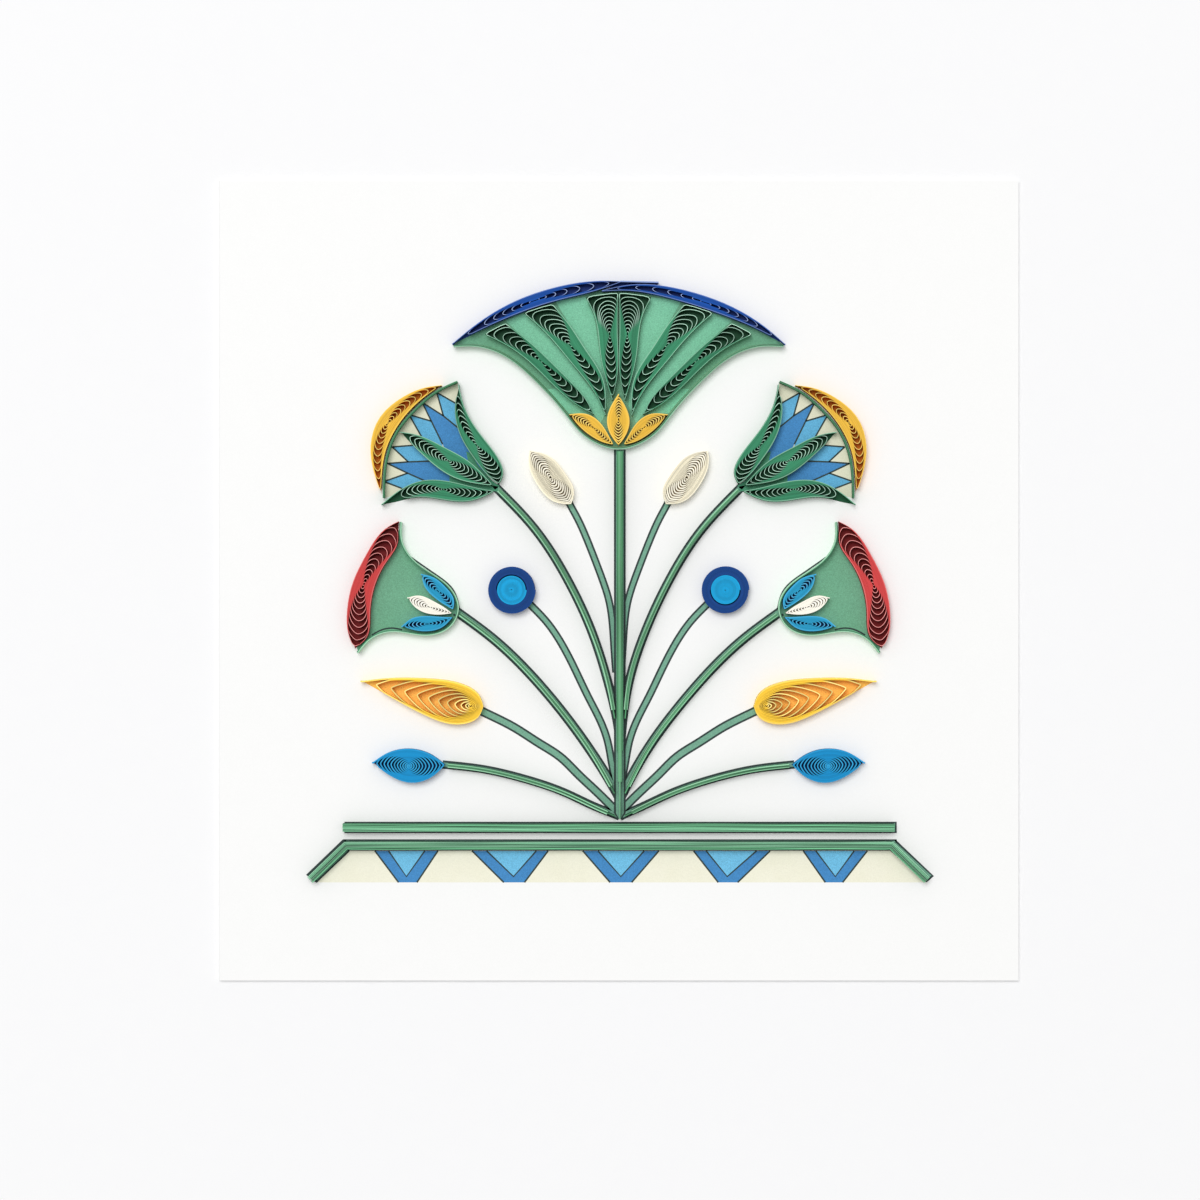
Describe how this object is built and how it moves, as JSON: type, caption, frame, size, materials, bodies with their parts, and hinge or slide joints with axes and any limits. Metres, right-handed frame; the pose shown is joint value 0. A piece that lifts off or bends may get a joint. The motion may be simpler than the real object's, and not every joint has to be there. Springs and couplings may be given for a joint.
{
  "type": "quilled paper art",
  "caption": "Square folded greeting card with a bouquet of rolled paper coils, strip stems and base bars standing on edge on its printed front.",
  "frame": {"origin": "middle of the card's underside, on the plane that it lies on", "axes": "+X to the right of the picture, +Y to its top, +Z out of the card's front; the fold is at -X"},
  "size_m": [0.1524, 0.1524, 0.0035],
  "materials": {
    "card_stock": "matt white card, printed in flat colours",
    "green_strip": "matt coloured paper, strips on edge",
    "blue_strip": "matt coloured paper, strips on edge",
    "sky_strip": "matt coloured paper, strips on edge",
    "yellow_strip": "matt coloured paper, strips on edge",
    "orange_strip": "matt coloured paper, strips on edge",
    "red_strip": "matt coloured paper, strips on edge",
    "white_strip": "matt coloured paper, strips on edge"
  },
  "bodies": {
    "root": {"card": "card_stock", "left_sky_crescent": "blue_strip", "left_inner_fan_coil": "green_strip", "left_middle_fan_coil": "green_strip", "left_outer_fan_coil": "green_strip", "left_yellow_petal": "yellow_strip", "left_upper_sepal": "green_strip", "left_middle_sepal": "green_strip", "left_lower_sepal": "green_strip", "left_yellow_rim": "yellow_strip", "left_mouth_strip": "green_strip", "left_lotus_stem": "green_strip", "left_red_rim": "red_strip", "left_upper_blue_petal": "sky_strip", "left_white_petal": "white_strip", "left_lower_blue_petal": "sky_strip", "left_flower_outline": "green_strip", "left_flower_stem": "green_strip", "left_white_bud": "white_strip", "left_yellow_bud": "orange_strip", "left_blue_bud": "sky_strip", "left_bud_stem": "green_strip", "left_inner_roll": "sky_strip", "left_outer_roll": "blue_strip", "right_sky_crescent": "blue_strip", "right_inner_fan_coil": "green_strip", "right_middle_fan_coil": "green_strip", "right_outer_fan_coil": "green_strip", "right_yellow_petal": "yellow_strip", "right_upper_sepal": "green_strip", "right_middle_sepal": "green_strip", "right_lower_sepal": "green_strip", "right_yellow_rim": "yellow_strip", "right_mouth_strip": "green_strip", "right_lotus_stem": "green_strip", "right_red_rim": "red_strip", "right_upper_blue_petal": "sky_strip", "right_white_petal": "white_strip", "right_lower_blue_petal": "sky_strip", "right_flower_outline": "green_strip", "right_flower_stem": "green_strip", "right_white_bud": "white_strip", "right_yellow_bud": "orange_strip", "right_blue_bud": "sky_strip", "right_bud_stem": "green_strip", "right_inner_roll": "sky_strip", "right_outer_roll": "blue_strip", "papyrus_outline": "green_strip", "middle_stem": "green_strip", "upper_bar": "green_strip", "lower_bar": "green_strip", "middle_yellow_petal": "yellow_strip"}
  },
  "joints": []
}
